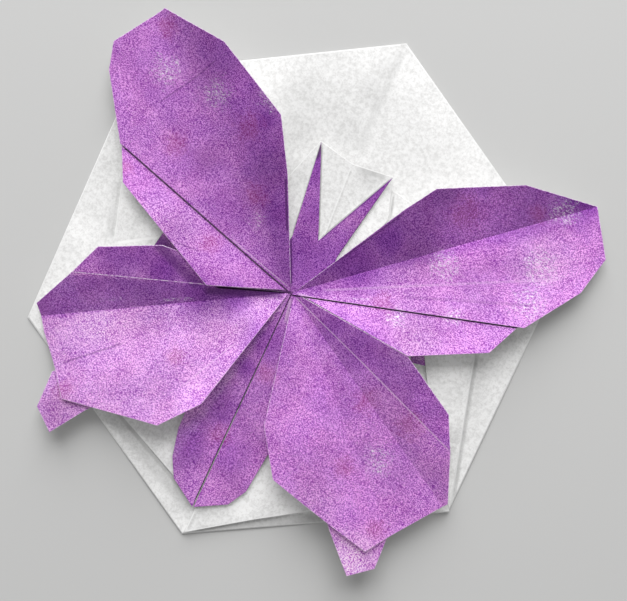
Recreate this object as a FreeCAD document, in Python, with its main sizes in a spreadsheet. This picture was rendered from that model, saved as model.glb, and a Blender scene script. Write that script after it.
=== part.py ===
import FreeCAD, Part
import os
import Sketcher

# An origami butterfly, folded from one sheet of paper that is purple on one face and white on the other.
# The sheet is pressed into a flat hexagon. Six petals rise from the point where its pleats gather: the head
# with its two antennae, a pair of forewings, a pair of hindwings with tails, and the abdomen.
# +Z is up, +Y runs from the gathered centre to the head's corner of the hexagon, and the origin is the
# middle of the hexagon's back face. Lengths are millimetres and angles are degrees. An azimuth is counted
# from +Y towards the wing's own side, a reach is a distance from the middle, and a tilt is a crease's climb.

doc = FreeCAD.newDocument("origami_butterfly")

# ---------------------------------------------------------------- driving sizes

SIZES = {
    # the paper and the flat hexagon
    "paper_thickness": 0.15,
    "layer_gap": 0.1,
    "hexagon_radius": 75,
    "corner_rounding": 2,
    "gather_radius": 2.2,
    # the pleats of the white front, and the pouch that they leave open
    "pleat_fold_azimuth": 98.9,
    "pleat_fold_reach": 51.4,
    "pleat_corner_azimuth": 91,
    "pleat_corner_reach": 39.7,
    "pouch_corner_azimuth": 91.4,
    "pouch_corner_reach": 40.8,
    "pouch_side_azimuth": 79.5,
    "pouch_side_reach": 48,
    "pouch_end_reach": 25,
    # the lower front: a fold line above the tail corner, and the edge that springs open beside it
    "fold_line_start": 67.5,
    "fold_line_azimuth": 120.5,
    "fold_line_reach": 71.5,
    "lower_front_azimuth": 128,
    "lower_front_reach": 36,
    "mouth_hinge_azimuth": 36,
    "mouth_hinge_length": 36,
    "mouth_edge_azimuth": 56.2,
    "mouth_edge_length": 45,
    "mouth_tilt": 3.5,
    # head: a white flap, and the two antennae that lie on it
    "flap_side_azimuth": 26,
    "flap_side_reach": 32.3,
    "flap_side_tilt": 3.7,
    "flap_corner_azimuth": 15.2,
    "flap_corner_reach": 41.9,
    "flap_middle_reach": 38.9,
    "flap_middle_tilt": 3.4,
    "antenna_azimuth": 15.05,
    "antenna_reach": 41.8,
    "antenna_tip_spread": 0.6,
    "antenna_root_azimuth": 24.8,
    "antenna_root_reach": 15.5,
    "antenna_fork_reach": 16,
    # a corner of the front that shows between the head and the right forewing
    "cheek_inner_azimuth": 19.4,
    "cheek_inner_reach": 39.2,
    "cheek_outer_azimuth": 28.6,
    "cheek_outer_reach": 40.9,
    "cheek_root_azimuth": 36,
    "cheek_root_reach": 25,
    # outlines of the forewings
    "fore_lead_azimuth": 28.6,
    "fore_lead_reach": 47.6,
    "fore_brow_azimuth": 40,
    "fore_brow_reach": 69.1,
    "fore_tip_azimuth": 49,
    "fore_tip_reach": 84.9,
    "fore_rim_azimuth": 59.5,
    "fore_rim_reach": 84.1,
    "fore_flank_azimuth": 64.5,
    "fore_flank_reach": 77.8,
    "fore_pleat_azimuth": 73.6,
    "fore_pleat_reach": 61.7,
    # the strip of each forewing below its pleat; the left one is opened over the hindwing
    "strip_tuck_azimuth": 70,
    "strip_tuck_reach": 60,
    "strip_hip_azimuth": 81.2,
    "strip_hip_reach": 55.1,
    "strip_crease_azimuth": 93,
    "strip_heel_azimuth": 109.3,
    "strip_heel_reach": 23.2,
    # outlines of the hindwings
    "hind_root_azimuth": 94,
    "hind_root_reach": 36.8,
    "hind_crown_azimuth": 102,
    "hind_crown_reach": 54,
    "hind_ridge_azimuth": 109.5,
    "hind_ridge_reach": 60.6,
    "hind_valley_azimuth": 118.8,
    "hind_valley_reach": 71.7,
    "hind_fold_azimuth": 132,
    "hind_fold_reach": 70.4,
    "hind_tip_azimuth": 139.5,
    "hind_tip_reach": 71.8,
    "hind_bend_azimuth": 155,
    "hind_flank_azimuth": 160.1,
    "hind_flank_reach": 51.3,
    "hind_inner_azimuth": 166.4,
    "hind_inner_reach": 37.9,
    # tails, the lower layer of the hindwings
    "tail_root_azimuth": 133.4,
    "tail_root_reach": 71.5,
    "tail_turn_azimuth": 138.6,
    "tail_turn_reach": 78.7,
    "tail_point_azimuth": 144.4,
    "tail_point_reach": 78.4,
    "tail_inner_azimuth": 146,
    "tail_inner_reach": 64,
    # abdomen: its halves fall to a valley along the middle, and the left one laps over the right
    "abdomen_edge_azimuth": 163.5,
    "abdomen_edge_reach": 45.4,
    "abdomen_side_azimuth": 168.4,
    "abdomen_side_reach": 56.7,
    "abdomen_round_azimuth": 172.1,
    "abdomen_round_reach": 61.5,
    "abdomen_tip_azimuth": 180,
    "abdomen_tip_reach": 66,
    # tilts of the creases; the wings are opened by hand, so the two sides differ
    "left_fore_lead_tilt": 9.8,
    "left_fore_brow_tilt": 6.3,
    "left_fore_tip_tilt": 1.9,
    "left_fore_flank_tilt": 1.6,
    "left_fore_pleat_tilt": 2.1,
    "left_strip_tuck_tilt": 1.4,
    "left_strip_crease_tilt": 5.4,
    "left_strip_heel_tilt": 7.7,
    "left_hind_root_tilt": 5.4,
    "left_hind_ridge_tilt": 3.6,
    "left_hind_valley_tilt": -0.2,
    "left_hind_fold_tilt": 1.2,
    "left_hind_tip_tilt": 3.5,
    "left_hind_bend_tilt": 6.8,
    "left_hind_inner_tilt": 10,
    "left_tail_root_tilt": 1,
    "left_tail_inner_tilt": 4,
    "left_abdomen_edge_tilt": 1.7,
    "left_abdomen_tip_tilt": 1,
    "right_fore_lead_tilt": 8.4,
    "right_fore_brow_tilt": 3.1,
    "right_fore_tip_tilt": -0.3,
    "right_fore_flank_tilt": 1.1,
    "right_fore_pleat_tilt": 3.2,
    "right_strip_tuck_tilt": 2.3,
    "right_hind_root_tilt": 7.4,
    "right_hind_ridge_tilt": 4.8,
    "right_hind_valley_tilt": 2.6,
    "right_hind_fold_tilt": 3.5,
    "right_hind_tip_tilt": 5.2,
    "right_hind_bend_tilt": 7,
    "right_hind_inner_tilt": 6.4,
    "right_tail_root_tilt": 3.2,
    "right_tail_inner_tilt": 5.8,
    "right_abdomen_edge_tilt": 1.9,
    "right_abdomen_tip_tilt": 1,
}

sheet = doc.addObject("Spreadsheet::Sheet", "sizes")
for row, (name, value) in enumerate(SIZES.items(), start=1):
    sheet.set(f"A{row}", name.replace("_", " "))
    sheet.set(f"B{row}", str(value))
    sheet.setAlias(f"B{row}", name)
doc.recompute()

PAPER = "sizes.paper_thickness"
WING = f"2 * {PAPER}"                       # a wing is two layers pressed together
FRONT = f"3 * {PAPER}"                      # top of the flat front: back, front layer and pleat
CLEAR_HEIGHT = "sizes.hexagon_radius"       # taller than any petal climbs
LEFT, RIGHT = -1, 1
SIDE_WORDS = {LEFT: "left", RIGHT: "right"}


def level(number):
    """Height at which a petal leaves the centre, counted in wing thicknesses from the front."""
    return f"({FRONT} + sizes.layer_gap + {number} * ({WING} + sizes.layer_gap))"


# ---------------------------------------------------------------- ways of making a layer of paper

def polar(azimuth, reach, side=RIGHT, start=("0", "0")):
    """X and Y, as expressions, of a corner given by its azimuth and its distance from start."""
    return f"{start[0]} + {side} * {reach} * sin({azimuth})", f"{start[1]} + {reach} * cos({azimuth})"


def corner(name, side=RIGHT):
    """The corner whose azimuth and reach are the sheet's cells of that name."""
    return polar(f"sizes.{name}_azimuth", f"sizes.{name}_reach", side)


def crease(name, side):
    """A crease that leaves the centre: its azimuth, and its tilt on that side."""
    return f"sizes.{name}_azimuth", f"sizes.{SIDE_WORDS[side]}_{name}_tilt"


def draw(label, corners, plane=None):
    """A closed sketch with straight sides, every corner held by two dimensions from the sheet."""
    sketch = doc.addObject("Sketcher::SketchObject", label)
    if plane:
        sketch.setExpression("Placement", plane)
    places = [[float(sheet.evalExpression(axis)) for axis in point] for point in corners]
    points = [FreeCAD.Vector(*place, 0) for place in places]
    count = len(points)
    for index in range(count):
        sketch.addGeometry(Part.LineSegment(points[index], points[(index + 1) % count]))
    for index in range(count):
        sketch.addConstraint(Sketcher.Constraint("Coincident", index, 2, (index + 1) % count, 1))
    for index in range(count):
        for kind, place, axis in zip(("DistanceX", "DistanceY"), places[index], corners[index]):
            number = sketch.addConstraint(Sketcher.Constraint(kind, index, 1, place))
            sketch.setExpression(f"Constraints[{number}]", axis)
    return sketch


def flat_layer(label, corners, height, thickness=PAPER):
    """A piece of paper that lies flat at a height above the back."""
    outline = draw(f"{label}_outline", corners, f"placement(vector(0; 0; {height}); rotation(0; 0; 0))")
    layer = doc.addObject("Part::Extrusion", label)
    layer.Base = outline
    layer.DirMode = "Normal"
    layer.Solid = True
    layer.setExpression("LengthFwd", thickness)
    return layer


def fan(label, creases, height, thickness, side, far, near, start=("0", "0")):
    """Flat facets between creases that spread from one point: a ruled loft of their zigzag section."""
    middle = f"(({creases[0][0]} + {creases[-1][0]}) / 2)"
    profiles = []
    for place, distance in (("near", near), ("far", far)):
        x, y = polar(middle, distance, side, start)
        plane = f"placement(vector({x}; {y}; 0); rotation({-side} * {middle}; 0; 90))"
        under = []
        for azimuth, tilt in creases:
            across = f"{side} * {distance} * tan({azimuth} - {middle})"
            up = f"{height} + {distance} / cos({azimuth} - {middle}) * tan({tilt})"
            under.append((across, up))
        over = [(across, f"{up} + {thickness}") for across, up in reversed(under)]
        profiles.append(draw(f"{label}_{place}_profile", under + over, plane))
    loft = doc.addObject("Part::Loft", f"{label}_facets")
    loft.Sections = profiles
    loft.Solid = True
    loft.Ruled = True
    loft.Linearize = True
    return loft


def cut_out(label, facets, corners):
    """The paper of the facets that lies inside an outline seen from above."""
    outline = draw(f"{label}_outline", corners)
    column = doc.addObject("Part::Extrusion", f"{label}_column")
    column.Base = outline
    column.DirMode = "Normal"
    column.Solid = True
    column.setExpression("LengthFwd", CLEAR_HEIGHT)
    piece = doc.addObject("Part::Common", label)
    piece.Base = facets
    piece.Tool = column
    return piece


CENTRE = ("0", "0")
NEAR = "0.3 * sizes.gather_radius"          # petals start inside the gathered centre


def petal(label, names, corners, height, side, thickness=WING):
    """A petal: facets between the named creases, cut to an outline that starts at the centre."""
    reaches = [f"sizes.{name}_reach" for name in corners]
    far = f"(1.05 * max({'; '.join(reaches)}))"
    facets = fan(label, [crease(name, side) for name in names], height, thickness, side, far, NEAR)
    return cut_out(label, facets, [CENTRE] + [corner(name, side) for name in corners])


# ---------------------------------------------------------------- the flat hexagon

HEXAGON_CORNER = 60                         # azimuth between two corners of the hexagon
LAYER_REACH = "(sizes.hexagon_radius - sizes.corner_rounding / 4)"     # where a layer on it starts
TAIL_CORNER = ("0", f"-{LAYER_REACH}")


def hexagon(label, height):
    """A full hexagon of one layer, with one of its slightly blunt folded corners towards the head."""
    core = doc.addObject("Part::RegularPolygon", f"{label}_core")
    core.Polygon = 6
    core.setExpression("Circumradius", "sizes.hexagon_radius - sizes.corner_rounding / cos(30)")
    core.setExpression("Placement", f"placement(vector(0; 0; {height}); rotation(90; 0; 0))")
    outline = doc.addObject("Part::Offset2D", f"{label}_outline")
    outline.Source = core
    outline.Join = "Arc"
    outline.setExpression("Value", "sizes.corner_rounding")
    layer = doc.addObject("Part::Extrusion", label)
    layer.Base = outline
    layer.DirMode = "Normal"
    layer.Solid = True
    layer.setExpression("LengthFwd", PAPER)
    return layer


def half_turned(point):
    """The same corner after half a turn about the centre."""
    return tuple(f"-({axis})" for axis in point)


back = hexagon("back", "0")

# the front is one more layer, open in the middle, where the purple inside shows between the wings
front_sheet = hexagon("front_sheet", PAPER)
pouch_half = [corner("pouch_corner", LEFT), corner("pouch_side", LEFT), ("0", "sizes.pouch_end_reach")]
pouch = flat_layer("pouch", pouch_half + [half_turned(point) for point in pouch_half], PAPER)
front = doc.addObject("Part::Cut", "front")
front.Base = front_sheet
front.Tool = pouch

# two narrow pleats run from opposite corners of the hexagon to the sides of the pouch
upper_left_corner = polar(HEXAGON_CORNER, LAYER_REACH, LEFT)
pleat_outline = [upper_left_corner, corner("pleat_fold", LEFT), corner("pleat_corner", LEFT)]
left_pleat = flat_layer("left_pleat", pleat_outline, f"2 * {PAPER}")
right_pleat = flat_layer("right_pleat", [half_turned(point) for point in pleat_outline], f"2 * {PAPER}")

# the lower front is folded along a line above the hexagon's lower left side
hinge_end = polar("sizes.mouth_hinge_azimuth", "sizes.mouth_hinge_length", RIGHT, TAIL_CORNER)
lower_front = flat_layer(
    "lower_front",
    [
        TAIL_CORNER,
        ("0", "-sizes.fold_line_start"),
        corner("fold_line", LEFT),
        corner("lower_front", LEFT),
        hinge_end,
    ],
    f"2 * {PAPER}",
)

# its right part springs open along the side of the hexagon, like a mouth hinged at the tail corner
mouth = fan(
    "mouth",
    [("sizes.mouth_hinge_azimuth", "0"), ("sizes.mouth_edge_azimuth", "sizes.mouth_tilt")],
    f"2 * {PAPER}", PAPER, RIGHT,
    "1.1 * sizes.mouth_edge_length", "sizes.layer_gap", TAIL_CORNER,
)
mouth_edge_end = polar("sizes.mouth_edge_azimuth", "sizes.mouth_edge_length", RIGHT, TAIL_CORNER)
mouth_flap = cut_out("mouth_flap", mouth, [TAIL_CORNER, hinge_end, mouth_edge_end])

# all the petals meet in a small stack of gathered pleats
gather = doc.addObject("Part::Prism", "gather")
gather.Polygon = 6
gather.setExpression("Circumradius", "sizes.gather_radius")
gather.setExpression("Height", f"{level(4)} + {PAPER}")

flat_pieces = [back, front, left_pleat, right_pleat, lower_front, mouth_flap, gather]


# ---------------------------------------------------------------- head and antennae

flap_creases = [
    ("-sizes.flap_side_azimuth", "sizes.flap_side_tilt"),
    ("0", "sizes.flap_middle_tilt"),
    ("sizes.flap_side_azimuth", "sizes.flap_side_tilt"),
]
head_far = "(1.05 * sizes.flap_corner_reach)"
flap_facets = fan("head_flap", flap_creases, level(0), PAPER, RIGHT, head_far, NEAR)
head_flap = cut_out("head_flap", flap_facets, [
    CENTRE,
    corner("flap_side", RIGHT),
    corner("flap_corner", RIGHT),
    ("0", "sizes.flap_middle_reach"),
    corner("flap_corner", LEFT),
    corner("flap_side", LEFT),
])

# the antennae are two long points of one purple layer, forked above the middle of the flap
antenna_facets = fan("antenna", flap_creases, f"({level(0)} + {PAPER})", WING, RIGHT, head_far, NEAR)
inner_tip = "(sizes.antenna_azimuth - sizes.antenna_tip_spread / 2)"
outer_tip = "(sizes.antenna_azimuth + sizes.antenna_tip_spread / 2)"
antennae = cut_out("antennae", antenna_facets, [
    CENTRE,
    corner("antenna_root", RIGHT),
    polar(outer_tip, "sizes.antenna_reach", RIGHT),
    polar(inner_tip, "sizes.antenna_reach", RIGHT),
    ("0", "sizes.antenna_fork_reach"),
    polar(inner_tip, "sizes.antenna_reach", LEFT),
    polar(outer_tip, "sizes.antenna_reach", LEFT),
    corner("antenna_root", LEFT),
])
cheek_outline = [corner("cheek_inner"), corner("cheek_outer"), corner("cheek_root")]
cheek = flat_layer("cheek", cheek_outline, f"2 * {PAPER}")
head_pieces = [head_flap, antennae, cheek]


# ---------------------------------------------------------------- wings, tails and abdomen

FORE_OUTLINE = ["fore_lead", "fore_brow", "fore_tip", "fore_rim", "fore_flank", "fore_pleat"]
FORE_CREASES = ["fore_lead", "fore_brow", "fore_tip", "fore_flank", "fore_pleat"]
STRIP_OUTLINE = ["strip_tuck", "fore_pleat", "strip_hip"]
HIND_OUTLINE = ["hind_root", "hind_crown", "hind_ridge", "hind_valley", "hind_fold", "hind_tip",
                "hind_flank", "hind_inner"]
HIND_CREASES = ["hind_root", "hind_ridge", "hind_valley", "hind_fold", "hind_tip", "hind_bend", "hind_inner"]
TAIL_OUTLINE = ["tail_root", "tail_turn", "tail_point", "tail_inner"]
TAIL_CREASES = ["tail_root", "tail_inner"]
ABDOMEN_OUTLINE = ["abdomen_edge", "abdomen_side", "abdomen_round", "abdomen_tip"]
ABDOMEN_CREASES = ["abdomen_edge", "abdomen_tip"]

petals = []

# on the right the strip and the hindwing are one layer with a ridge between them; on the left the strip is
# opened out over the hindwing, which lies one layer lower
petals += [
    petal("right_strip", ["strip_tuck", "hind_root"], STRIP_OUTLINE + ["hind_root"], level(3), RIGHT),
    petal("left_strip", ["strip_tuck", "strip_crease", "strip_heel"], STRIP_OUTLINE + ["strip_heel"],
          level(3), LEFT),
]
for side, hind_level in ((LEFT, 2), (RIGHT, 3)):
    word = SIDE_WORDS[side]
    petals += [
        petal(f"{word}_forewing", FORE_CREASES, FORE_OUTLINE, level(4), side),
        petal(f"{word}_hindwing", HIND_CREASES, HIND_OUTLINE, level(hind_level), side),
        petal(f"{word}_tail", TAIL_CREASES, TAIL_OUTLINE, level(hind_level - 1), side),
    ]
petals += [
    petal("left_abdomen", ABDOMEN_CREASES, ABDOMEN_OUTLINE, level(1), LEFT),
    petal("right_abdomen", ABDOMEN_CREASES, ABDOMEN_OUTLINE, level(0), RIGHT),
]


# ---------------------------------------------------------------- the one folded sheet

folded_sheet = doc.addObject("Part::MultiFuse", "folded_sheet")
folded_sheet.Label = "folded_sheet"
folded_sheet.Shapes = flat_pieces + head_pieces + petals
folded_sheet.Refine = True
doc.recompute()

for item in doc.Objects:
    if "Invalid" in item.State or "Error" in item.State:
        raise RuntimeError(f"{item.Label} failed: {item.State}")
shape = folded_sheet.Shape
if shape.isNull() or not shape.isValid():
    raise RuntimeError("folded_sheet has no valid shape")

os.makedirs("parts", exist_ok=True)
shape.exportStep(f"parts/{folded_sheet.Label}.step")
box = shape.optimalBoundingBox(False)
print(f"{folded_sheet.Label}: {len(shape.Solids)} solid, {len(shape.Faces)} faces, "
      f"{box.XLength:.1f} x {box.YLength:.1f} x {box.ZLength:.1f} mm, {shape.Volume:.0f} mm3")
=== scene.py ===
"""The dressed model of a folded paper butterfly on its hexagon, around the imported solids."""

import math

import bmesh
import bpy
from mathutils import Matrix, Vector, noise


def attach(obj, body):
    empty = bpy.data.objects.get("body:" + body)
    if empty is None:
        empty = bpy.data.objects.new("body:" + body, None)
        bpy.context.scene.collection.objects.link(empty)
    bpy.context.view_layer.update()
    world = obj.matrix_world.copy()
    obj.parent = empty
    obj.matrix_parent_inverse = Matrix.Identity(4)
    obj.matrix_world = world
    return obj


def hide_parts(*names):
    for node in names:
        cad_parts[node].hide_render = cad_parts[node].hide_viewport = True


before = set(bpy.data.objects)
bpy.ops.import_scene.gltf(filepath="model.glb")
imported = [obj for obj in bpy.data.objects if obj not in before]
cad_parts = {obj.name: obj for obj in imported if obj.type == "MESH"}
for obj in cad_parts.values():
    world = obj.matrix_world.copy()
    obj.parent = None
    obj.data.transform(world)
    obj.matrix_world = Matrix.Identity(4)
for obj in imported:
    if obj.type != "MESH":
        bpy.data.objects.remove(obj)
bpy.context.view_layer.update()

# ---------------------------------------------------------------------------------------------
# The view. A 50 mm lens a quarter of a metre above the butterfly, which lies turned to the left
# on a plain pale table.
# ---------------------------------------------------------------------------------------------
METRE = 0.001  # one millimetre in metres

eye = Vector((10.951, 12.202, 241.642)) * METRE
target = Vector((6.252, 0.400, 0.0)) * METRE
view_up = Vector((-0.41795, 0.90775, -0.0362))

lens = bpy.data.cameras.new("view")
lens.lens = 50.0
lens.sensor_width = 36.0
lens.clip_start = 0.01
camera = bpy.data.objects.new("view", lens)
look = (target - eye).normalized()
side = look.cross(view_up).normalized()
upward = side.cross(look)
camera.matrix_world = Matrix.Translation(eye) @ Matrix((side, upward, -look)).transposed().to_4x4()
bpy.context.scene.collection.objects.link(camera)
bpy.context.scene.camera = camera

# ---------------------------------------------------------------------------------------------
# The table and the light: a plain pale table, one broad soft lamp beyond the head that skims
# the folds, and an even pale room.
# ---------------------------------------------------------------------------------------------
TABLE_HALF = 1.5  # metres
TABLE_DROP = 0.3  # how far its top is below the paper
TABLE_COLOUR = (0.62, 0.62, 0.615, 1.0)
LAMP_AZIMUTH = -20.0
LAMP_HEIGHT = 33.0  # degrees above the table
LAMP_DISTANCE = 1.3
LAMP_SIZE = 1.2
LAMP_POWER = 23.5
ROOM_LIGHT = 0.34
ROOM_COLOUR = (1.0, 1.0, 1.0, 1.0)


class Wire:
    """A node's output, or an input still open, that works in sums like a number."""

    def __init__(self, finish, socket):
        self.finish = finish
        self.socket = socket

    def sum(self, operation, *others):
        values = dict(enumerate((self, *others)))
        return self.finish.node("ShaderNodeMath", {"operation": operation}, values)

    def __add__(self, other):
        return self.sum("ADD", other)

    def __sub__(self, other):
        return self.sum("SUBTRACT", other)

    def __mul__(self, other):
        return self.sum("MULTIPLY", other)

    def __rsub__(self, other):
        return (self * -1.0) + other

    __radd__ = __add__
    __rmul__ = __mul__

    def ramp(self, low, high):
        """0 below low, 1 above high, and a smooth step between them."""
        settings = {"interpolation_type": "SMOOTHSTEP"}
        return self.finish.node("ShaderNodeMapRange", settings, {0: self, 1: low, 2: high})


class Finish:
    """A paint box for one material: its shader, and nodes that are added one call each."""

    def __init__(self, name):
        self.material = bpy.data.materials.new(name)
        self.material.use_nodes = True
        self.nodes = self.material.node_tree.nodes
        self.shader = self.nodes["Principled BSDF"]
        texture = self.node("ShaderNodeTexCoord", output="Object")
        self.place = self.vector("SCALE", texture, {"Scale": 1.0 / METRE})  # in millimetres
        self.flat = self.vector("MULTIPLY", self.place, {1: (1.0, 1.0, 0.0)})

    def plug(self, socket, value):
        if isinstance(value, Wire):
            self.material.node_tree.links.new(value.socket, socket)
        else:
            socket.default_value = value

    def node(self, kind, settings=None, values=None, output=0):
        made = self.nodes.new(kind)
        for name, value in (settings or {}).items():
            setattr(made, name, value)
        for name, value in (values or {}).items():
            self.plug(made.inputs[name], value)
        return Wire(self, made.outputs[output])

    def vector(self, operation, first, values=None, output=0):
        settings = {"operation": operation}
        return self.node("ShaderNodeVectorMath", settings, {0: first, **(values or {})}, output)

    def mix(self, share, first, second, blend="MIX"):
        settings = {"data_type": "RGBA", "blend_type": blend}
        return self.node("ShaderNodeMix", settings, {0: share, 6: first, 7: second}, 2)

    def fibres(self, size, detail, roughness, shift=0.0, stretch=(1.0, 1.0, 1.0)):
        """Cloudy variation about 0.5, its patches about size millimetres across."""
        moved = self.vector("MULTIPLY_ADD", self.place, {1: stretch, 2: (shift, shift, shift)})
        values = {"Vector": moved, "Scale": 1.0 / size, "Detail": detail, "Roughness": roughness}
        return self.node("ShaderNodeTexNoise", None, values)

    def set(self, **values):
        for name, value in values.items():
            self.plug(self.shader.inputs[name.replace("_", " ")], value)


def ray(azimuth, height=0.0):
    """The direction at an azimuth, clockwise from the head, and a height above the table."""
    a, h = math.radians(azimuth), math.radians(height)
    return Vector((math.sin(a) * math.cos(h), math.cos(a) * math.cos(h), math.sin(h)))


table = bmesh.new()
bmesh.ops.create_grid(table, x_segments=1, y_segments=1, size=TABLE_HALF)
bmesh.ops.translate(table, verts=table.verts, vec=(0, 0, -TABLE_DROP * METRE))
mesh = bpy.data.meshes.new("table_top")
table.to_mesh(mesh)
table.free()
table_top = bpy.data.objects.new("table_top", mesh)
bpy.context.scene.collection.objects.link(table_top)
pale = Finish("pale_table")
pale.set(Base_Color=TABLE_COLOUR, Roughness=0.9)
mesh.materials.append(pale.material)

lamp = bpy.data.lights.new("window", "AREA")
lamp.size = LAMP_SIZE
lamp.energy = LAMP_POWER
window = bpy.data.objects.new("window", lamp)
window.location = ray(LAMP_AZIMUTH, LAMP_HEIGHT) * LAMP_DISTANCE
window.rotation_euler = window.location.to_track_quat("Z", "Y").to_euler()
bpy.context.scene.collection.objects.link(window)
room = bpy.data.worlds.new("room")
room.use_nodes = True
room.node_tree.nodes["Background"].inputs["Color"].default_value = ROOM_COLOUR
room.node_tree.nodes["Background"].inputs["Strength"].default_value = ROOM_LIGHT
bpy.context.scene.world = room
bpy.context.scene.view_settings.view_transform = "Standard"

# ---------------------------------------------------------------------------------------------
# The hexagon. One sheet of thin paper, white on one side and dyed purple on the other, is folded
# into a flat hexagon with its white side out. Its front half is springy and crowns a little.
# ---------------------------------------------------------------------------------------------
PAPER = 0.2  # a folded edge is two or three sheets thick
RIM = 0.13  # the rubbed border of an edge
GRAIN = 2.2  # mesh spacing
SNAP = 0.03  # a line that passes this near a corner goes through it
HEXAGON = 75.0  # from the middle to a corner
HEXAGON_CORNERS = 6
FRONT_SHY = 0.3  # the front half stops this short of the back's corners
FRONT_HEIGHT = 0.4
CROWN, CROWN_RUN = 0.4, 15.0  # its rise, and how far inside the rim it is reached
VALLEY, VALLEY_HALF = 0.25, 12.0  # the dip along the fold beyond the head, and half its width
VALLEY_START, VALLEY_RUN = 20.0, 30.0  # it starts this far from the middle, and deepens over the run
FRONT_WAVES, FRONT_WAVE_SIZE = 0.12, 26.0
FINE, FINE_SHARE = 2.7, 0.3  # finer waves among the broad ones
UPRIGHT = 0.5  # a face whose normal rises less than this is the paper's own edge

WHITE, DYED, RUBBED, CUT = range(4)  # the finishes, in their order on the mesh

sheet = bmesh.new()


def spot(azimuth, reach):
    """A place on the sheet: its azimuth clockwise from the head, and its distance from the middle."""
    return ray(azimuth) * reach


def cut_to(outline, face=WHITE, rim=CUT):
    """A flat layer cut to its outline, with the rubbed border of its edges marked."""
    layer = bmesh.new()
    blank = layer.faces.new([layer.verts.new((x, y, 0.0)) for x, y in outline])
    blank.normal_update()
    if blank.normal.z < 0:
        blank.normal_flip()
    blank.material_index = face
    border = bmesh.ops.inset_region(
        layer, faces=[blank], thickness=RIM, use_even_offset=True, use_boundary=True
    )
    for strip in border["faces"]:
        strip.material_index = rim
    return layer


def score(layer, place, normal, sharp=False):
    """Divides the layer along a straight line, as a line that it can bend or be creased on."""
    geometry = layer.verts[:] + layer.edges[:] + layer.faces[:]
    made = bmesh.ops.bisect_plane(layer, geom=geometry, dist=SNAP, plane_co=place, plane_no=normal)
    if sharp:
        for edge in made["geom_cut"]:
            if isinstance(edge, bmesh.types.BMEdge):
                edge.smooth = False


def weave(layer):
    """Divides the layer into a fine mesh, so that it can bend everywhere."""
    for axis in (Vector((1, 0, 0)), Vector((0, 1, 0))):
        along = [vertex.co.dot(axis) for vertex in layer.verts]
        step = math.floor(min(along) / GRAIN) + 1
        while step * GRAIN < max(along):
            score(layer, axis * (step * GRAIN), axis)
            step += 1


def buckle(layer, depth, size, seed):
    """The slight waviness of handled paper."""
    for vertex in layer.verts:
        place = Vector((vertex.co.x, vertex.co.y, seed)) / size
        vertex.co.z += depth * noise.noise(place) + depth * FINE_SHARE * noise.noise(place * FINE)


def into_sheet(layer, walls=CUT):
    """Gives a layer its thickness, white below and with its walls marked, and joins it to the sheet."""
    bmesh.ops.solidify(layer, geom=layer.faces[:], thickness=PAPER)
    for face in layer.faces:
        if abs(face.normal.z) < UPRIGHT:
            face.material_index = walls
        elif face.normal.z < 0:
            face.material_index = WHITE
    bmesh.ops.recalc_face_normals(layer, faces=layer.faces)
    part = bpy.data.meshes.new("layer")
    layer.to_mesh(part)
    sheet.from_mesh(part)
    bpy.data.meshes.remove(part)
    layer.free()


def hexagon(radius):
    """The corners of a hexagon, clockwise from the head."""
    return [spot(360.0 / HEXAGON_CORNERS * corner, radius).xy for corner in range(HEXAGON_CORNERS)]


def rim_distance(x, y):
    """How far a place on the hexagon is from its nearest side."""
    place = Vector((x, y, 0))
    sides = [ray(30 + 60 * k) for k in range(HEXAGON_CORNERS)]
    return min(HEXAGON * math.cos(math.radians(30)) - across.dot(place) for across in sides)


def smooth(share):
    """0 below 0, 1 above 1, and a smooth step between them."""
    share = min(max(share, 0.0), 1.0)
    return share * share * (3 - 2 * share)


back = cut_to(hexagon(HEXAGON))
for vertex in back.verts:
    vertex.co.z += PAPER
into_sheet(back)

front = cut_to(hexagon(HEXAGON - FRONT_SHY))
score(front, (0, 0, 0), (1, 0, 0))
weave(front)
for vertex in front.verts:
    crown = CROWN * smooth(rim_distance(vertex.co.x, vertex.co.y) / CROWN_RUN)
    inward = max(0.0, 1 - abs(vertex.co.x) / VALLEY_HALF)
    valley = -VALLEY * inward * smooth((vertex.co.y - VALLEY_START) / VALLEY_RUN)
    vertex.co.z += FRONT_HEIGHT + crown + valley
buckle(front, FRONT_WAVES, FRONT_WAVE_SIZE, 1.0)
into_sheet(front)

# ---------------------------------------------------------------------------------------------
# The white panels. Two side panels are hinged at opposite corners of the hexagon, over the dyed
# linings of their pockets; the lower panel's right edge is free, and a corner is turned up.
# ---------------------------------------------------------------------------------------------
PANEL_WAVE_SIZE = 18.0

LEFT_LINING = [(-40.4, 3.0), (-30.0, -3.0), (-33.0, -7.0), (-40.4, -6.0)]
RIGHT_LINING = [(35.0, 0.5), (42.5, 3.0), (42.6, -3.0), (38.0, -4.0)]
LEFT_PANEL = [(-64.4, 37.2), (-56.3, 10.7), (-49.5, -13.0), (-41.0, -8.0), (-40.2, -3.2), (-39.7, -0.7),
              (-38.0, 12.0), (-44.0, 30.0)]
RIGHT_PANEL = [(64.8, -36.8), (52.8, 5.6), (49.0, 18.0), (38.0, 10.0), (40.4, -0.6), (44.7, -7.7),
               (55.4, -25.3)]
LOWER_PANEL = [(0.3, -74.0), (17.0, -62.0), (32.8, -51.4), (30.0, -36.0), (-25.0, -36.0), (-29.2, -51.4),
               (-7.6, -61.2), (0.4, -65.2)]
TURNED_CORNER = [(63.2, -35.3), (65.0, -36.8), (61.5, -39.0)]


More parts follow.
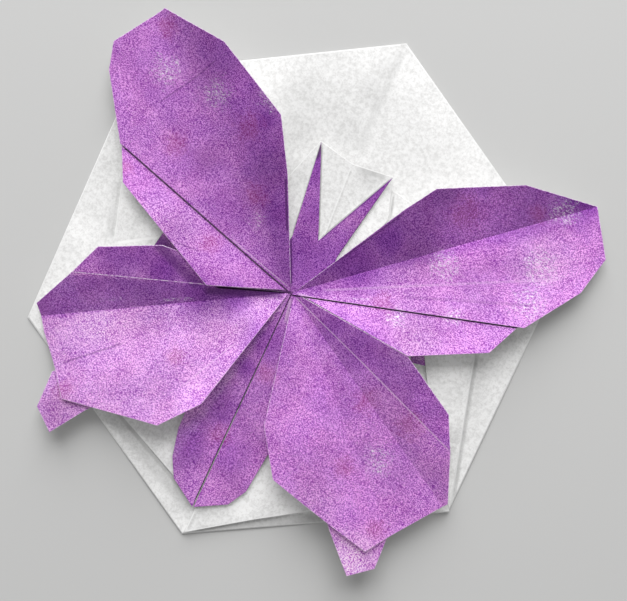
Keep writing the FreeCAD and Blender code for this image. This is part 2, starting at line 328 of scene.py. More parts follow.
def flat_layer(outline, height, seed, lean=(0.0, 0.0), depth=0.08, face=WHITE, creased=False):
    """A nearly flat layer. Lean is its rise per millimetre in x and y, depth that of its waviness;
    it may be creased along the middle line of the sheet."""
    layer = cut_to(outline, face)
    if creased:
        score(layer, (0, 0, 0), ray(90), sharp=True)
    weave(layer)
    for vertex in layer.verts:
        vertex.co.z = height + lean[0] * vertex.co.x + lean[1] * vertex.co.y
    buckle(layer, depth, PANEL_WAVE_SIZE, seed)
    into_sheet(layer)


flat_layer(LEFT_LINING, 1.0, seed=8, depth=0.0, face=DYED)
flat_layer(RIGHT_LINING, 1.0, seed=9, depth=0.0, face=DYED)
flat_layer(LEFT_PANEL, 1.12, seed=3, lean=(0.0, 0.006))
flat_layer(RIGHT_PANEL, 1.0, seed=4, lean=(0.008, 0.0))
flat_layer(LOWER_PANEL, 1.3, seed=5, lean=(0.01, 0.0))
flat_layer(TURNED_CORNER, 1.5, seed=10, depth=0.0)

# ---------------------------------------------------------------------------------------------
# The head. A white flap behind two long purple antennae, which are one narrow fold of the
# sheet's dyed side. The flap's right side turns back under the forewing.
# ---------------------------------------------------------------------------------------------
HUB = 1.7  # every layer gathers at this height in the middle
GATHER = 9.0  # and has its own level from here outwards
SOFT = 3.5  # half the width that a soft fold is rounded over
SOFT_SHARE = 0.12  # and the largest share of the reach that this may be
EASING = (-1.0, -0.6, -0.2, 0.2, 0.6, 1.0)  # the places across it whose heights are averaged
WORN_HALF = 0.11  # half the width of a worn line along a fold
WORN_START = 14.0  # the line starts this far from the middle
CALM, WAVES_RUN = 6.0, 20.0  # a petal is flat near the middle, and its waviness grows from there
PETAL_WAVE_SIZE = 15.0
PETAL_FINE, PETAL_FINE_SHARE = 2.9, 0.35  # its finer waves

FLAP_SIDE = [(13.0, 37.0), (19.6, 35.9), (21.0, 26.0), (12.0, 22.0)]
FLAP = [(0.5, 38.8), (11.9, 40.1), (15.7, 29.0), (8.5, 8.0), (-8.0, 8.0), (-14.0, 28.8), (-10.0, 40.9)]


def polar(place):
    """The azimuth of a place, and its distance from the middle."""
    return math.degrees(math.atan2(place.x, place.y)), math.hypot(place.x, place.y)


def onward(azimuth, folds):
    """The azimuth, counted within half a turn of the folds' middle."""
    middle = (folds[0][0] + folds[-1][0]) / 2
    return (azimuth - middle + 180) % 360 - 180 + middle


def fan_height(folds, place):
    """The height of a layer that is flat between its radial folds, each with its own rise in degrees."""
    azimuth, reach = polar(place)
    azimuth = onward(azimuth, folds)
    for (start, low, _), (end, high, _) in zip(folds, folds[1:]):
        if azimuth <= end:
            break
    low, high = math.tan(math.radians(low)), math.tan(math.radians(high))
    share = low * math.sin(math.radians(end - azimuth)) + high * math.sin(math.radians(azimuth - start))
    return reach * share / math.sin(math.radians(end - start))


def between_sharp(folds, azimuth):
    """The folds of the part of a fan that holds an azimuth, from one sharp crease to the next."""
    azimuth = onward(azimuth, folds)
    ends = [0] + [i for i, fold in enumerate(folds[:-1]) if i and fold[2] != "soft"] + [len(folds) - 1]
    for first, last in zip(ends, ends[1:]):
        if azimuth <= folds[last][0]:
            break
    return folds[first : last + 1]


def eased_height(folds, place):
    """The same with its soft folds rounded, over a width that grows away from the middle."""
    azimuth, reach = polar(place)
    part = between_sharp(folds, azimuth)
    across = ray(azimuth + 90)
    width = min(SOFT, reach * SOFT_SHARE)
    return sum(fan_height(part, place + across * width * step) for step in EASING) / len(EASING)


def waves(place):
    """The waviness of a petal, about 0."""
    return noise.noise(place) + PETAL_FINE_SHARE * noise.noise(place * PETAL_FINE)


def mark_worn(layer, azimuth):
    """Marks the rubbed line along a fold."""
    for face in layer.faces:
        centre = face.calc_center_median()
        if abs(centre.dot(ray(azimuth + 90))) < WORN_HALF and centre.dot(ray(azimuth)) > WORN_START:
            face.material_index = RUBBED


def petal(outline, folds, level, seed, depth=0.16, rim=RUBBED, walls=CUT):
    """A layer of the dyed face, folded like a fan about the middle of the sheet. Its corners are
    azimuths and reaches. Each fold has its azimuth, its rise in degrees and its mark: 'sharp',
    'worn' or 'soft'. Level is the height that it rises from, and depth that of its waviness."""
    layer = cut_to([spot(*corner).xy for corner in outline], DYED, rim)
    inner = folds[1:-1]
    for azimuth, _, mark in inner:
        normal = ray(azimuth + 90)
        if mark == "worn":
            for offset in (-WORN_HALF, WORN_HALF):
                score(layer, normal * offset, normal)
        elif mark == "sharp":
            score(layer, (0, 0, 0), normal, sharp=True)
    for azimuth, _, mark in inner:
        if mark == "worn":
            mark_worn(layer, azimuth)
    weave(layer)
    for vertex in layer.verts:
        base = HUB + (level - HUB) * min(1.0, polar(vertex.co)[1] / GATHER)
        vertex.co.z = base + eased_height(folds, vertex.co)
    for vertex in layer.verts:
        grown = smooth((polar(vertex.co)[1] - CALM) / WAVES_RUN)
        place = Vector((vertex.co.x, vertex.co.y, seed)) / PETAL_WAVE_SIZE
        vertex.co.z += depth * grown * waves(place)
    into_sheet(layer, walls)


flat_layer(FLAP_SIDE, 1.0, seed=6, lean=(0.0, 0.012), depth=0.02)
flat_layer(FLAP, 1.05, seed=7, lean=(0.0, 0.052), depth=0.03, creased=True)
petal(  # the antennae
    outline=[(-34.0, 12.5), (-24.3, 15.5), (-13.4, 41.9), (2.4, 16.0), (16.7, 41.7), (27.4, 15.6),
             (36.0, 12.5), (150, 0.8), (-150, 0.8)],
    folds=[(-60, 3.0, "soft"), (1.5, 3.4, "sharp"), (60, 3.0, "soft")],
    level=1.35,
    seed=0,
    depth=0.02,
    rim=DYED,
)

# ---------------------------------------------------------------------------------------------
# The abdomen. Two narrow dyed panels fold down into a valley along the middle line; the left
# one laps over the right.
# ---------------------------------------------------------------------------------------------
petal(  # the right panel
    outline=[(0, 0.6), (150, 12.0), (162, 44.0), (164.0, 45.7), (168.4, 56.8), (172.2, 61.7),
             (-179.9, 66.0)],
    folds=[(150, 2.6, "soft"), (180, 1.0, "soft")],
    level=0.9,
    seed=11,
    depth=0.06,
    rim=DYED,
)
petal(  # the left panel, its edge dyed through
    outline=[(0, 0.6), (-179.6, 66.0), (-172.1, 61.4), (-168.5, 56.6), (-164.6, 49.2), (-163.0, 45.0),
             (-158, 30.0), (-150, 12.0)],
    folds=[(-181, 1.0, "soft"), (-150, 2.2, "soft")],
    level=1.1,
    seed=12,
    depth=0.06,
    rim=DYED,
    walls=DYED,
)

# ---------------------------------------------------------------------------------------------
# The hindwings, two broad dyed fans that lie low on the hexagon. The small tails under them
# come out past its lower sides.
# ---------------------------------------------------------------------------------------------
petal(  # the right tail
    outline=[(133.0, 65.5), (133.9, 71.8), (138.5, 78.4), (144.2, 78.1), (146.1, 65.5), (147, 60.0)],
    folds=[(133, 3.2, "soft"), (147, 6.0, "soft")],
    level=1.2,
    seed=13,
    depth=0.05,
)
petal(  # the left tail
    outline=[(-132.0, 64.0), (-145, 60.0), (-144.3, 65.3), (-144.6, 77.1), (-138.7, 77.5),
             (-132.9, 70.6)],
    folds=[(-147, 4.2, "soft"), (-131.5, 1.0, "soft")],
    level=1.0,
    seed=14,
    depth=0.05,
)
petal(  # the left hindwing
    outline=[(-60, 0.6), (-94.4, 37.7), (-101.2, 54.4), (-108.9, 60.3), (-117.0, 71.3), (-123.6, 70.4),
             (-131.8, 69.3), (-139.4, 69.9), (-159.4, 51.1), (-165.8, 38.6)],
    folds=[(-168, 10.5, "soft"), (-155.5, 6.8, "soft"), (-140, 3.6, "soft"), (-131.5, 1.1, "soft"),
           (-120, -0.3, "sharp"), (-109.2, 3.6, "worn"), (-90, 5.9, "soft")],
    level=1.5,
    seed=15,
)
petal(  # the right hindwing
    outline=[(60, 0.6), (93.7, 35.8), (102.8, 53.6), (110.3, 60.9), (118.8, 71.7), (139.3, 72.8),
             (160.9, 50.9), (167.0, 37.1)],
    folds=[(93.7, 7.5, "soft"), (109.8, 4.8, "soft"), (120, 2.5, "sharp"), (133, 3.6, "sharp"),
           (145, 6.5, "soft"), (155, 7.0, "soft"), (170, 6.1, "soft")],
    level=1.95,
    seed=16,
)

# ---------------------------------------------------------------------------------------------
# The strips. Each forewing's pleat leaves a strip of the dyed face below the wing, one layer
# lower, that the wing laps over.
# ---------------------------------------------------------------------------------------------
petal(  # the left strip
    outline=[(-30, 0.6), (-68.9, 67.3), (-81.5, 55.0), (-109.6, 23.4)],
    folds=[(-111, 7.9, "soft"), (-93, 5.4, "soft"), (-76, 2.25, "soft"), (-60, 0.3, "soft")],
    level=1.95,
    seed=19,
)
petal(  # the right strip
    outline=[(30, 0.6), (70.0, 65.9), (82.1, 55.7), (93.7, 35.9)],
    folds=[(60, 0.3, "soft"), (76, 3.5, "soft"), (93.7, 7.8, "soft")],
    level=1.95,
    seed=20,
)

# ---------------------------------------------------------------------------------------------
# The forewings, the uppermost layers, folded in a wide fan. Both bend up along their inner
# sides, and the right one has a sharp crease down its length.
# ---------------------------------------------------------------------------------------------
petal(  # the left forewing
    outline=[(-180, 0.6), (-25.9, 31.7), (-27.4, 47.3), (-39.2, 68.8), (-48.5, 84.1), (-59.9, 83.8),
             (-64.0, 78.5), (-73.6, 62.1)],
    folds=[(-76, 2.2, "soft"), (-64, 1.6, "soft"), (-48.5, 1.9, "soft"), (-39, 6.8, "soft"),
           (-24, 11.0, "soft")],
    level=2.35,
    seed=19,
)
petal(  # the right forewing
    outline=[(180, 0.6), (29.1, 37.6), (29.8, 47.8), (40.7, 69.4), (49.6, 86.3), (59.3, 85.6),
             (65.3, 78.3), (73.9, 63.5)],
    folds=[(27, 9.0, "soft"), (40.7, 2.8, "soft"), (49.6, -0.4, "sharp"), (62.5, 0.8, "soft"),
           (76, 3.7, "soft")],
    level=2.35,
    seed=20,
)

# ---------------------------------------------------------------------------------------------
# The white face. Mottled craft paper, with painted shade where wings and folds shade it, painted light
# where shadows are lifted, and painted grey shadow and painted highlights along its folds and edges.
# ---------------------------------------------------------------------------------------------
THIN_PULP = (0.74, 0.737, 0.73, 1)
THICK_PULP = (0.95, 0.948, 0.945, 1)
# painted shade: the places of painted shade are multiplied by this
WHITE_SHADE_PAINT = (0.6, 0.6, 0.6, 1.0)  # what a place's colour is multiplied by
# painted light: places where shadows are lifted are multiplied by this
WHITE_LIGHT_PAINT = (1.16, 1.16, 1.16, 1.0)
# painted shadow beside the folds and edges
WHITE_SHADOW_GREY = (0.42, 0.42, 0.415, 1.0)
# painted highlight along edges and creases
WHITE_HIGHLIGHT = (1.0, 1.0, 0.995, 1.0)
PLACE_CORE, PLACE_END = 0.2, 1.4  # a place is full inside the one share of its reach, gone by the other
LINE_CORE = 0.3  # the share of its half width that a line is full over
LINE_FADE = 2.0  # how far from its ends it fades

# a place has its x, y, reach and share, in millimetres from the middle
# places of painted shade, where the wings, the flap and the folds shade the white face
SHADED = [
    # beyond the head and on its flap
    (-18.5, 41.0, 8.0, 0.45), (-20.0, 49.0, 9.0, 0.32), (-12.0, 50.0, 9.0, 0.2), (-4.5, 47.0, 6.0, 0.28),
    (-3.2, 58.5, 4.5, 0.3), (-2.2, 66.0, 3.5, 0.2), (-12.0, 30.0, 6.0, 0.28), (6.1, 37.8, 3.5, 0.4),
    # beside the right panel and the left one
    (59.8, 11.7, 5.0, 0.5), (62.7, 15.4, 3.0, 0.3), (57.8, -16.8, 3.0, 0.33), (57.6, -22.0, 2.5, 0.3),
    (-61.2, 10.6, 4.0, 0.18),
    # beyond the abdomen
    (2.4, -66.0, 2.2, 0.4),
]
# painted light, lifting the wings' shadows on the panels and the flap and brightening the hexagon's rim
WHITE_LIGHT_PLACES = [
    # the lower panel
    (11.5, -59.1, 6.0, 1.0), (16.4, -53.1, 6.0, 1.0), (23.8, -54.2, 5.0, 1.0), (-14.0, -55.3, 2.5, 1.0),
    (-11.0, -66.8, 2.5, 0.6), (-1.6, -72.4, 2.5, 1.0),
    # the side panels
    (-51.6, 4.3, 5.0, 1.0), (-43.0, 0.0, 4.0, 1.0), (48.6, -0.4, 5.0, 1.0),
    # the head's flap
    (8.9, 25.6, 5.0, 1.0), (11.5, 32.0, 4.0, 0.7),
    # the hexagon's rim
    (-30.0, 56.0, 8.0, 0.5), (-8.0, 71.0, 7.0, 0.7), (6.0, 69.0, 7.0, 0.7), (18.3, 64.6, 9.0, 0.7),
    (29.0, 57.0, 6.0, 0.5), (-61.5, -9.0, 5.0, 0.6), (62.0, -1.1, 4.0, 0.5), (63.6, -30.3, 3.0, 0.6),
]

# a line has its start, end, half width and share
# painted shadow, soft grey beside the panels' and the flap's edges and along the folds
WHITE_SHADOW_LINES = [
    # the left panel's free edge
    ((-56.7, 8.8), (-51.6, -8.4), 0.8, 0.25), ((-57.6, 8.6), (-52.5, -8.6), 1.7, 0.2),
    ((-43.2, -4.4), (-40.6, -2.8), 0.9, 0.5),
    # the right panel's
    ((53.2, 5.9), (64.8, -34.4), 1.0, 0.5), ((40.2, -1.0), (44.4, -8.0), 0.6, 0.4),
    # the lower panel's left edge
    ((-31.5, -50.9), (0.2, -65.7), 1.0, 0.5), ((-34.0, -51.6), (-0.5, -67.1), 3.0, 0.28),
    # beside the antennae
    ((-6.45, 14.1), (-9.75, 41.0), 0.35, 0.8), ((0.75, 16.2), (-9.65, 41.0), 0.3, 0.7),
    ((0.6, 16.2), (11.95, 40.1), 0.35, 0.8),
    # the lowest corner, and under the lower panel's right edge
    ((1.2, -66.5), (1.0, -73.5), 0.6, 0.3), ((3.0, -73.0), (36.0, -52.4), 2.2, 0.55),
    # the head's flap
    ((1.2, 38.2), (11.6, 39.4), 1.2, 0.3), ((14.0, 36.8), (16.2, 29.4), 0.45, 0.5),
    ((2.0, 17.0), (0.8, 38.3), 0.4, 0.2),
    # the fold beyond the head
    ((0.0, 73.0), (0.3, 42.0), 1.6, 0.15),
]
# painted highlights along the edges and creases that catch the light
WHITE_HIGHLIGHT_LINES = [
    # the side panels
    ((-56.0, 9.0), (-50.9, -8.2), 0.3, 0.9), ((-39.7, -1.2), (-50.8, -8.3), 0.6, 0.9),
    ((52.8, 5.6), (64.6, -35.5), 0.4, 0.9),
    # the lower panel and the lowest corner
    ((-28.9, -51.2), (-7.4, -61.0), 0.2, 0.4), ((0.6, -66.5), (0.4, -74.0), 0.35, 0.9),
    ((0.4, -73.7), (17.1, -61.8), 0.3, 0.6), ((16.5, -62.2), (32.8, -51.2), 0.3, 0.6),
    # the head's flap, its edges and its crease
    ((-10.1, 41.0), (0.5, 38.8), 0.25, 0.8), ((0.5, 38.8), (12.0, 40.2), 0.25, 0.8),
    ((-10.1, 41.0), (-14.0, 29.2), 0.25, 0.8), ((13.5, 36.8), (15.8, 29.2), 0.25, 0.8),
    ((13.2, 37.1), (19.5, 36.0), 0.2, 0.6), ((1.6, 17.0), (0.4, 38.3), 0.25, 0.6),
]


def patches(finish, places, ragged=0.0):
    """The share of each place at its middle, fading away around its reach, with a ragged border."""
    found = None
    for x, y, reach, share in places:
        away = finish.vector("DISTANCE", finish.flat, {1: (x, y, 0.0)}, "Value")
        near = (1 - (away * (1.0 / reach) + ragged).ramp(PLACE_CORE, PLACE_END)) * share
        found = near if found is None else found.sum("MAXIMUM", near)
    return found


def scored(finish, start, end, width):
    """1 along a straight line between two places, fading towards its ends."""
    start, end = Vector((*start, 0.0)), Vector((*end, 0.0))
    along = (end - start).normalized()
    across = Vector((-along.y, along.x, 0.0))
    away = finish.vector("SUBTRACT", finish.flat, {1: start})
    off = finish.vector("DOT_PRODUCT", away, {1: across}, "Value").sum("ABSOLUTE")
    run = finish.vector("DOT_PRODUCT", away, {1: along}, "Value")
    length = (end - start).length
    near = 1 - off.ramp(width * LINE_CORE, width)
    return near * run.ramp(0.0, LINE_FADE) * (1 - run.ramp(length - LINE_FADE, length))


def drawn_over(finish, base, lines, tint):
    """The base colour with lines of a tint drawn over it."""
    for start, end, width, share in lines:
        base = finish.mix(scored(finish, start, end, width) * share, base, tint)
    return base


white = Finish("white_face")
clouds = white.fibres(1.1, 3.0, 0.8)
paper = white.mix(clouds.ramp(0.30, 0.66), THIN_PULP, THICK_PULP)
# painted shade over the mottled paper
paper = white.mix(patches(white, SHADED), paper, WHITE_SHADE_PAINT, "MULTIPLY")
# painted light over the paper
paper = white.mix(patches(white, WHITE_LIGHT_PLACES), paper, WHITE_LIGHT_PAINT, "MULTIPLY")
# painted shadow lines
paper = drawn_over(white, paper, WHITE_SHADOW_LINES, WHITE_SHADOW_GREY)
# painted highlight lines
paper = drawn_over(white, paper, WHITE_HIGHLIGHT_LINES, WHITE_HIGHLIGHT)
white.set(Base_Color=paper, Roughness=0.85)

# ---------------------------------------------------------------------------------------------
# The purple face. The dye is grainy, with painted shade, painted light and painted sheen over broad
# places and on single facets. It has red stains, chalky rubs and pale lines along its creases and
# old folds, and painted shade in creases, along edges and in the gaps between layers.
# ---------------------------------------------------------------------------------------------


def colour(red, green, blue):
    """A colour in 0 to 255, as a linear one."""
    parts = (red / 255.0, green / 255.0, blue / 255.0)
    return (*(p / 12.92 if p <= 0.04045 else ((p + 0.055) / 1.055) ** 2.4 for p in parts), 1.0)


DEEP_DYE, DEEP_DYE_WARM = colour(132, 27, 163), colour(138, 28, 161)
LIGHT_DYE, LIGHT_DYE_WARM = colour(238, 167, 247), colour(242, 169, 245)
SPARKLE = colour(255, 222, 252)
STAIN = colour(168, 50, 118)
CHALK = colour(246, 234, 250)
STREAK = colour(240, 222, 246)
PALE_CREASE = colour(240, 205, 240)
# painted shade in creases and along edges
SHADE_LINE_COLOUR = colour(96, 36, 120)
# painted shade on the left antenna's tip
TIP_SHADE_GREY = colour(112, 92, 116)
# painted shadow in the gaps between layers
GAP_SHADOW_COLOUR = (0.004, 0.0, 0.006, 1.0)
# painted shade: the places and facets of painted shade are multiplied by this
PURPLE_SHADE_PAINT = (0.36, 0.02, 0.61, 1.0)  # what a place's colour is multiplied by
# painted light and sheen: their places and facets are paled and whitened by this
PURPLE_SHEEN_PAINT = (1.25, 1.75, 1.17, 1.0)
# painted light: its places are multiplied by this
PURPLE_LIGHT_PAINT = (1.38, 1.45, 1.34, 1.0)
# grey painted shade: its places are multiplied by this
PURPLE_GREY_SHADE_PAINT = (0.72, 0.68, 0.72, 1.0)
CLOUD_SHARE = 0.12  # the rest of the tone is grain
SPARKLE_SHARE = 0.5
RAGGED = 3.4  # how far the border of a stain or rub strays
CHALK_SHARE, STREAK_SHARE = 1.4, 0.9
GAP_SHADOW_SHARE = 0.95
# the deeper places here are those of painted shade
SHEEN, SHADE_SHEEN = 0.5, 0.2  # the dye's metallic sheen, and what the deeper places add to it

# painted shade on facets turned from the lamp and under raised edges and strips
PURPLE_SHADE_PLACES = [
    # the head and antennae
    (0.0, 10.0, 13.0, 0.5), (10.0, 38.0, 12.0, 0.6), (-9.0, 36.0, 10.0, 0.6), (-3.0, 22.0, 7.0, 0.45),
    # the left forewing and its strip
    (-12.0, 18.0, 6.0, 0.6), (-22.0, 33.0, 6.0, 0.5), (-25.0, 39.0, 5.0, 0.6), (-36.0, 23.0, 9.0, 0.2),
    (-24.0, 14.0, 9.0, 0.3),
    # the right forewing and its strip
    (12.0, 15.0, 10.0, 0.65), (18.0, 24.0, 7.0, 0.65), (60.0, 58.0, 10.0, 0.8), (35.0, 48.0, 6.0, 0.5),
    (47.0, 54.0, 6.0, 0.4),
    # the left hindwing
    (-24.0, -11.5, 6.5, 0.65), (-14.0, -8.0, 5.5, 0.65), (-35.0, -9.0, 6.0, 0.65),
    (-41.0, -7.5, 6.0, 0.5), (-48.0, -9.5, 8.0, 0.45), (-56.0, -14.0, 6.0, 0.3),
    (-38.2, -3.0, 3.0, 0.4),
    # the right hindwing
    (14.0, -3.5, 6.0, 0.5), (24.0, -6.0, 9.0, 0.45), (23.0, -19.0, 9.0, 0.2),
    # the abdomen
    (-1.0, -15.0, 7.0, 0.5), (-3.0, -24.0, 3.5, 0.6), (-5.0, -38.0, 6.5, 0.42),
    (-8.5, -44.0, 4.0, 0.4), (-9.0, -50.0, 7.0, 0.5), (3.0, -48.0, 8.0, 0.35),
]
# painted light and sheen on facets turned to the lamp and where shadows are lifted
PURPLE_SHEEN_PLACES = [
    # the left forewing and its strip
    (-43.0, 3.0, 7.0, 0.6), (-34.0, 4.0, 8.0, 0.3),
    # the right forewing and its strip
    (28.0, 11.0, 9.0, 0.3), (60.0, 36.0, 10.0, 0.5), (36.0, 1.5, 8.0, 0.7),
    # the left hindwing
    (-37.0, -27.0, 13.0, 0.6), (-22.0, -20.0, 9.0, 0.4), (-24.0, -42.0, 14.0, 0.5),
    (-48.0, -42.0, 13.0, 0.5), (-8.0, -19.0, 4.5, 0.5), (-10.5, -28.5, 5.0, 0.5),
    (-13.0, -37.0, 5.0, 0.5), (-46.0, -31.0, 10.0, 0.8), (-60.0, -25.0, 7.0, 0.5),
    # the right hindwing
    (30.0, -50.0, 8.0, 0.3),
    # the tails
    (44.0, -60.0, 9.0, 1.0),
]
# painted light, lifting shadows and brightening facets that face the lamp
PURPLE_LIGHT_PLACES = [
    # the left forewing and its strip
    (-36.0, 43.0, 5.0, 0.8), (-35.0, 38.0, 8.0, 0.6), (-30.0, 30.0, 7.0, 0.4),
    # the right forewing and its strip
    (68.0, 42.0, 9.0, 0.4), (36.0, 34.0, 8.0, 0.9), (37.0, 41.0, 11.0, 1.0),
    # the left hindwing
    (-56.0, -18.0, 7.0, 0.7), (-46.0, -30.0, 12.0, 0.7), (-58.0, -27.0, 8.0, 0.7),
    (-12.0, -37.0, 5.0, 0.9),
    # the right hindwing
    (46.0, -48.0, 13.0, 0.8), (14.0, -47.0, 9.0, 0.7), (27.0, -12.0, 5.0, 0.5),
    (45.0, -12.0, 4.0, 0.8), (18.0, -21.0, 6.0, 0.4), (54.0, -48.0, 7.0, 0.9), (56.0, -38.0, 9.0, 0.5),
    (36.0, -28.0, 12.0, 0.3), (53.0, -17.5, 9.0, 0.9), (16.0, -32.0, 9.0, 0.7),
    (40.0, -42.0, 9.0, 0.4),
    # the abdomen
    (-9.0, -48.0, 7.0, 0.6), (0.0, -48.0, 8.0, 0.8), (0.0, -60.0, 8.0, 0.9),
    # the tails
    (45.0, -60.0, 8.0, 1.0), (49.0, -54.0, 8.0, 0.7),
]
# grey painted shade on facets and under raised edges
PURPLE_GREY_SHADE_PLACES = [
    # the head and antennae
    (9.0, 24.0, 4.0, 0.4),
    # the left forewing and its strip
    (-36.0, 24.0, 5.0, 0.6), (-18.0, 29.0, 6.0, 0.6), (-36.0, 2.0, 7.0, 0.6),
    # the right forewing and its strip
    (36.0, 5.0, 10.0, 0.75), (27.0, 24.0, 6.0, 0.5), (47.0, 20.0, 8.0, 0.4), (27.0, 42.0, 4.0, 0.8),
    (36.0, 51.0, 4.0, 0.6), (54.0, 32.0, 5.0, 0.35),
    # the left hindwing
    (-17.0, -15.0, 8.0, 0.75), (-9.0, -15.0, 5.0, 0.6),
    # the right hindwing
    (36.0, -30.0, 5.0, 0.3),
    # the tails
    (-45.0, -57.0, 6.0, 0.6),
]
STAINS = [
    # the left forewing and its strip
    (-45.5, 24.0, 3.5, 0.5), (-60.5, 51.5, 3.0, 0.5), (-29.0, 35.8, 4.0, 0.5), (-26.0, 3.2, 3.0, 0.5),
    (-56.0, 12.0, 2.5, 0.5), (-20.0, 20.0, 3.5, 0.5),
    # the right forewing and its strip
    (33.8, 39.3, 4.5, 0.5), (52.0, 47.0, 2.5, 0.5), (24.0, 8.0, 3.0, 0.5),
    # the left hindwing
    (-46.2, -51.0, 3.0, 0.5), (-22.0, -29.0, 3.0, 0.5),
    # the right hindwing
    (31.2, -18.6, 3.5, 0.5), (44.2, -19.2, 4.0, 0.5), (32.6, -37.2, 3.0, 0.5), (47.8, -48.4, 3.0, 0.5),
    # the abdomen
    (-2.0, -44.3, 3.0, 0.5), (3.0, -23.8, 3.0, 0.5),
]
RUBS = [
    # the left forewing and its strip
    (-40.2, 40.8, 4.0, 1.1), (-56.0, 40.8, 4.0, 1.1), (-16.6, 13.9, 2.5, 0.6), (-25.5, 45.0, 3.5, 1.1),
    # the right forewing and its strip
    (58.0, 51.0, 4.0, 1.1), (35.2, 24.2, 4.0, 1.1), (59.5, 24.8, 4.5, 1.1), (58.5, 34.5, 5.0, 1.1),
    (42.5, 12.6, 2.5, 1.1), (29.0, 5.5, 3.0, 1.1),
    # the right hindwing
    (40.8, -31.3, 4.0, 1.1),
]
# painted shade on the left antenna's tip
ANTENNA_TIP_SHADE = [(-9.6, 39.6, 3.0, 0.7)]

# a facet has the azimuths that it lies between, the width of its soft border and its share
# painted shade on whole facets turned from the lamp
PURPLE_SHADE_FACETS = [(20.0, 54.0, 4.0, 0.35), (-54.0, -14.0, 14.0, 0.4), (-62.0, -48.0, 1.0, 0.12),
                 (-121.0, -109.3, 1.5, 0.45), (93.0, 110.5, 1.0, 0.3)]
# painted light and sheen on whole facets turned to the lamp
PURPLE_SHEEN_FACETS = [(-170.0, -120.2, 1.0, 0.55), (62.0, 95.0, 4.0, 0.2)]

PALE_LINES = [
    # a fold of the right forewing
    ((7.0, 3.9), (65.5, 34.2), 0.5, 0.25),
    # a fold of the left hindwing
    ((-7.9, -18.1), (-17.0, -36.7), 0.3, 0.35),
    # a fold of the right hindwing
    ((0.5, -0.4), (27.0, -9.8), 0.18, 0.7), ((24.5, -8.9), (57.4, -21.1), 0.2, 0.8),
    # the middle
    ((0.2, -1.0), (1.8, -9.0), 0.5, 0.6), ((-1.0, 0.8), (-22.0, 6.8), 0.25, 0.5),
    ((1.0, 0.3), (9.0, 1.6), 0.4, 0.6),
]
# painted shade and shadow in creases and along edges
PURPLE_SHADE_LINES = [
    # painted shade in old folds on the left forewing, hindwing and strip
    ((-55.1, 31.2), (-43.6, 49.0), 0.35, 0.4), ((-36.2, -31.8), (-50.7, -45.2), 0.4, 0.4),
    ((-35.7, -0.7), (-27.0, -0.2), 0.35, 0.4),
    # painted shade along the right forewing, and beside the left antenna's root
    ((27.7, 11.5), (61.3, 24.4), 0.6, 0.25), ((-9.3, 19.6), (-0.6, 1.0), 0.35, 0.8),
    # the left strip's shadow on the hindwing
    ((-23.0, -9.9), (-1.0, -1.3), 1.6, 0.7), ((-23.5, -9.6), (-41.6, -1.9), 2.2, 0.6),
    # painted shadow along the antennae's edges
    ((0.8, 16.2), (11.9, 39.7), 0.5, 0.6), ((7.3, 14.3), (12.0, 39.5), 0.4, 0.5),
    ((-10.2, 41.0), (-8.6, 35.0), 0.9, 0.9), ((7.9, 12.9), (19.0, 32.6), 0.3, 0.6),
    ((-14.4, 28.2), (-7.6, 14.0), 0.5, 0.8),
]
# painted shadow where one layer laps over the next: down the abdomen, under both forewings, under a
# strip
GAP_SHADOWS = [((0.0, 0.8), (-0.55, -65.0), 0.2), ((0.3, -0.6), (-59.3, 17.45), 0.32),
        ((-0.8, -1.0), (60.9, 17.45), 0.3), ((0.8, 0.3), (-20.6, -7.7), 0.5)]
STREAKS = [((-33.0, -17.3), (-23.0, -12.6), 0.8), ((-49.0, -25.0), (-41.0, -20.5), 0.6),
           ((10.0, 3.0), (22.0, 8.0), 0.5)]


def facet(finish, start, end, soft):
    """1 between two azimuths, with a border of soft degrees inside them."""
    across = finish.vector("DOT_PRODUCT", finish.flat, {1: (1.0, 0.0, 0.0)}, "Value")
    ahead = finish.vector("DOT_PRODUCT", finish.flat, {1: (0.0, 1.0, 0.0)}, "Value")
    azimuth = across.sum("ARCTAN2", ahead) * math.degrees(1.0)
    return azimuth.ramp(start, start + soft) * (1 - azimuth.ramp(end - soft, end))


def areas(finish, places, facets):
    """The share of the largest of some places and facets."""
    found = patches(finish, places)
    for start, end, soft, share in facets:
        found = found.sum("MAXIMUM", facet(finish, start, end, soft) * share)
    return found


dyed = Finish("purple_face")
cloud = dyed.fibres(6.0, 3.0, 0.6, shift=2.0)
grain = dyed.fibres(0.3, 1.5, 0.8, shift=8.0)
tone = (cloud * CLOUD_SHARE + grain * (1 - CLOUD_SHARE)).ramp(0.39, 0.61)
hue = dyed.fibres(9.0, 3.0, 0.7, shift=21.0).ramp(0.36, 0.64)
deep = dyed.mix(hue, DEEP_DYE, DEEP_DYE_WARM)
light = dyed.mix(hue, LIGHT_DYE, LIGHT_DYE_WARM)
base = dyed.mix(tone, deep, light)
sparkle = dyed.fibres(0.3, 1.0, 0.5, shift=51.0).ramp(0.64, 0.74)
base = dyed.mix(sparkle * SPARKLE_SHARE, base, SPARKLE)
# painted shade over the dye
shade = areas(dyed, PURPLE_SHADE_PLACES, PURPLE_SHADE_FACETS)
base = dyed.mix(shade, base, PURPLE_SHADE_PAINT, "MULTIPLY")
# painted light and sheen
base = dyed.mix(areas(dyed, PURPLE_SHEEN_PLACES, PURPLE_SHEEN_FACETS), base, PURPLE_SHEEN_PAINT, "MULTIPLY")
# painted light
base = dyed.mix(patches(dyed, PURPLE_LIGHT_PLACES), base, PURPLE_LIGHT_PAINT, "MULTIPLY")
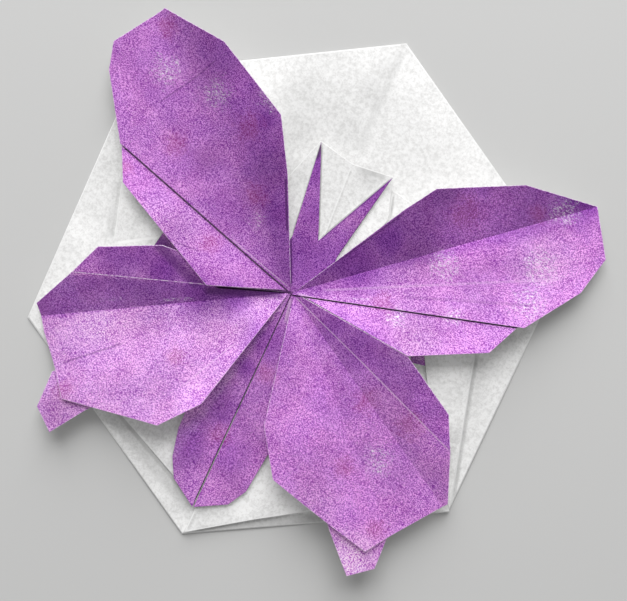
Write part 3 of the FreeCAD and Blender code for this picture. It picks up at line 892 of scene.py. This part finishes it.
# grey painted shade
base = dyed.mix(patches(dyed, PURPLE_GREY_SHADE_PLACES), base, PURPLE_GREY_SHADE_PAINT, "MULTIPLY")
ragged = (dyed.fibres(2.2, 4.0, 0.85, shift=31.0) - 0.5) * RAGGED
base = dyed.mix(patches(dyed, STAINS, ragged) * (1 - tone * 0.8), base, STAIN)
chalk = dyed.fibres(0.34, 2.0, 0.9, shift=44.0, stretch=(0.4, 1.0, 1.0)).ramp(0.52, 0.66)
base = dyed.mix(patches(dyed, RUBS, ragged) * chalk * CHALK_SHARE, base, CHALK)
base = drawn_over(dyed, base, PALE_LINES, PALE_CREASE)
for start, end, width in STREAKS:
    base = dyed.mix(scored(dyed, start, end, width) * chalk * STREAK_SHARE, base, STREAK)
# painted shade lines
base = drawn_over(dyed, base, PURPLE_SHADE_LINES, SHADE_LINE_COLOUR)
# painted shade on the antenna's tip
base = dyed.mix(patches(dyed, ANTENNA_TIP_SHADE), base, TIP_SHADE_GREY)
# painted shadow in the gaps, black and fully metallic so that it stays dark
gap_shadow = scored(dyed, *GAP_SHADOWS[0])
for line in GAP_SHADOWS[1:]:
    gap_shadow = gap_shadow.sum("MAXIMUM", scored(dyed, *line))
base = dyed.mix(gap_shadow * GAP_SHADOW_SHARE, base, GAP_SHADOW_COLOUR)
metal = (SHEEN + shade * SHADE_SHEEN).sum("MAXIMUM", gap_shadow)
dyed.set(Base_Color=base, Metallic=metal, Roughness=0.5)
dyed.set(Coat_Weight=0.12, Coat_Roughness=0.4, Coat_IOR=1.6)

# ---------------------------------------------------------------------------------------------
# The rubbed folds and the paper's cut edges. Handling has worn the dye off along each fold's
# edge; near the middle the edge is darker, and in the gaps it has painted shadow. A cut edge is
# plain white paper.
# ---------------------------------------------------------------------------------------------
WORN_DYE, WORN_PAPER = colour(190, 130, 204), colour(244, 218, 246)
# painted shadow on the worn edges in the gaps
GAP_EDGE_SHADOW, GAP_EDGE_SHADOW_SHARE = colour(56, 16, 74), 0.8
INNER_EDGE = colour(120, 60, 138)
INNER_REACH = (1.0, 5.0)  # it turns to the worn edge between these distances from the middle
CUT_EDGE = (0.88, 0.88, 0.875, 1)

rubbed = Finish("rubbed_folds_and_gap_shadow")
worn = rubbed.fibres(0.7, 2.0, 0.8, shift=3.0).ramp(0.4, 0.6)
edge = rubbed.mix(worn, WORN_DYE, WORN_PAPER)
# painted shadow in the gaps
for line in GAP_SHADOWS:
    edge = rubbed.mix(scored(rubbed, *line) * GAP_EDGE_SHADOW_SHARE, edge, GAP_EDGE_SHADOW)
outward = rubbed.vector("LENGTH", rubbed.flat, None, "Value").ramp(*INNER_REACH)
rubbed.set(Base_Color=rubbed.mix(outward, INNER_EDGE, edge), Roughness=0.6)
cut = Finish("paper_edge")
cut.set(Base_Color=CUT_EDGE, Roughness=0.85)

# ---------------------------------------------------------------------------------------------
# The finished sheet: all its layers as one mesh in metres, with the four finishes in the order
# of their marks.
# ---------------------------------------------------------------------------------------------
mesh = bpy.data.meshes.new("paper_butterfly")
bmesh.ops.scale(sheet, vec=(METRE, METRE, METRE), verts=sheet.verts)
sheet.to_mesh(mesh)
sheet.free()
for polygon in mesh.polygons:
    polygon.use_smooth = True
for finish in (white, dyed, rubbed, cut):
    mesh.materials.append(finish.material)
butterfly = bpy.data.objects.new("paper_butterfly", mesh)
bpy.context.scene.collection.objects.link(butterfly)
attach(butterfly, "root")
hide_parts("folded_sheet")

bpy.context.view_layer.update()
